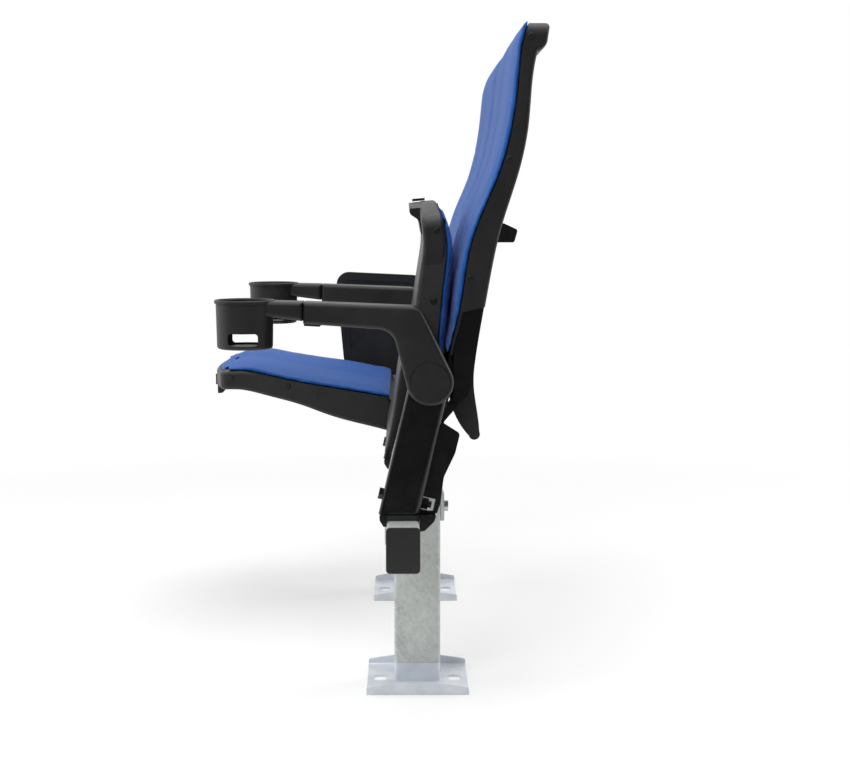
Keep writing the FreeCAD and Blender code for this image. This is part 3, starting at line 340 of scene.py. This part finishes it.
for side in ("left", "right"):
    upholster("back_pad_" + side, "back_cushion_" + side, "frame", Vector((0, -1, 0)), 12)
upholster("seat_pad_left", "seat_cushion_left", "seat_left", Vector((0, 1, 0)), -5)
upholster("seat_pad_right", "seat_cushion_right", "seat_right", Vector((0, 0, 1)), 90)

# The view of the photograph: along the row from the sitters' left end, a little above the seats.
# The camera's place, tilt and focal length were worked out from edges in the photograph.

picture_width = 850
focal_pixels = 1623.4
sensor_width = 36.0
view_reach = 200.0
camera_place = Vector((2.9169, -0.0180, 0.7797))
camera_down = math.radians(6.539)
camera_aside = math.radians(0.675)
camera_data = bpy.data.cameras.new("camera")
camera_data.sensor_width = sensor_width
camera_data.lens = sensor_width * focal_pixels / picture_width
camera_data.clip_end = view_reach
camera = bpy.data.objects.new("camera", camera_data)
bpy.context.scene.collection.objects.link(camera)
camera.location = camera_place
looking = Vector((-math.cos(camera_down) * math.cos(camera_aside),
                  math.cos(camera_down) * math.sin(camera_aside), -math.sin(camera_down)))
camera.rotation_mode = "QUATERNION"
camera.rotation_quaternion = looking.to_track_quat("-Z", "Y")
bpy.context.scene.camera = camera
bpy.context.scene.view_settings.view_transform = "Standard"

# Floor and light: a pale floor that runs into a white surround, and four soft studio lamps.
# Rays that look straight at the surround find it white. Those that a surface mirrors or scatters
# find the camera's side of the room dim, so that black faces turned to the camera stay black.

floor_side = 60.0
floor_grey = (0.80, 0.80, 0.80, 1)
pure_white = (1, 1, 1, 1)
floor_lift = 0.30
floor_near = 1.1
floor_far = 2.2
screened = 0.12
screen_start = 0.8
screen_end = 2.0
dim_start = -0.25
dim_end = 0.45
scattered = 0.62


def ray_kinds(place):
    """How far a ray looks straight at the surround, and how far it is one that a gloss mirrors."""
    seen = place.node("ShaderNodeLightPath", out="Is Camera Ray")
    kinds = seen.socket.node.outputs
    passed = Tint(place.tree, kinds["Is Transmission Ray"])
    return (seen + passed).between(0, 1), Tint(place.tree, kinds["Is Glossy Ray"])


bpy.ops.object.select_all(action="DESELECT")
bpy.ops.mesh.primitive_plane_add(size=floor_side, location=(0, 0, 0))
floor = bpy.context.object
floor.name = "floor"
pale, place = new_material("pale_floor")
straight, mirrored = ray_kinds(place)
looked_at = (straight + mirrored).between(0, 1)
along_row = place.node("ShaderNodeSeparateXYZ", None, {0: place}, out=0)
lit = straight + (1 - straight) * along_row.between(screen_start, screen_end, 1.0, screened)
matt = place.node("ShaderNodeBsdfDiffuse", None, {"Color": floor_grey})
lift = place.node("ShaderNodeEmission", None,
                  {"Color": pure_white, "Strength": looked_at * floor_lift})
both = place.node("ShaderNodeAddShader", None, {0: matt, 1: lift})
reach = place.node("ShaderNodeVectorMath", {"operation": "LENGTH"}, {0: place}, out="Value")
far_off = reach.between(floor_near, floor_far)
white = place.node("ShaderNodeEmission", None, {"Color": pure_white, "Strength": lit})
surround = place.node("ShaderNodeMixShader", None, {0: far_off * looked_at, 1: both, 2: white})
place.node("ShaderNodeOutputMaterial", None, {"Surface": surround}, out=None)
floor.data.materials.append(pale)

world = bpy.data.worlds.new("studio")
bpy.context.scene.world = world
world.use_nodes = True
world.node_tree.nodes.clear()
sky = Tint(world.node_tree)
straight, mirrored = ray_kinds(sky)
heading = sky.node("ShaderNodeTexCoord", out="Generated")
toward = sky.node("ShaderNodeSeparateXYZ", None, {0: heading}, out=0)
backdrop = toward.between(dim_start, dim_end, 1.0, screened)
soft = toward.between(dim_start, dim_end, scattered, screened)
indoors = backdrop * mirrored + soft * (1 - mirrored)
strength = straight + indoors * (1 - straight)
white = sky.node("ShaderNodeBackground", None, {"Color": pure_white, "Strength": strength})
sky.node("ShaderNodeOutputWorld", None, {"Surface": white}, out=None)


def lamp(name, place, aim, size, watts):
    """A soft rectangular lamp at a place, looking at an aim, all in metres."""
    data = bpy.data.lights.new(name, "AREA")
    data.shape = "RECTANGLE"
    data.size, data.size_y = size
    data.energy = watts
    made = bpy.data.objects.new(name, data)
    bpy.context.scene.collection.objects.link(made)
    made.location = place
    made.rotation_mode = "QUATERNION"
    made.rotation_quaternion = (Vector(aim) - Vector(place)).to_track_quat("-Z", "Y")


lamp("overhead", (0.3, 0.2, 3.2), (0, 0, 0.4), (2.6, 2.2), 42)
lamp("near", (3.4, -1.6, 3.2), (0.3, 0, 0.5), (2.6, 2.6), 62)
lamp("behind", (-0.6, 2.6, 1.9), (0, 0, 0.6), (1.8, 1.6), 22)
lamp("ahead", (0.2, -2.8, 1.6), (0, 0, 0.5), (1.8, 1.6), 16)

bpy.context.view_layer.update()
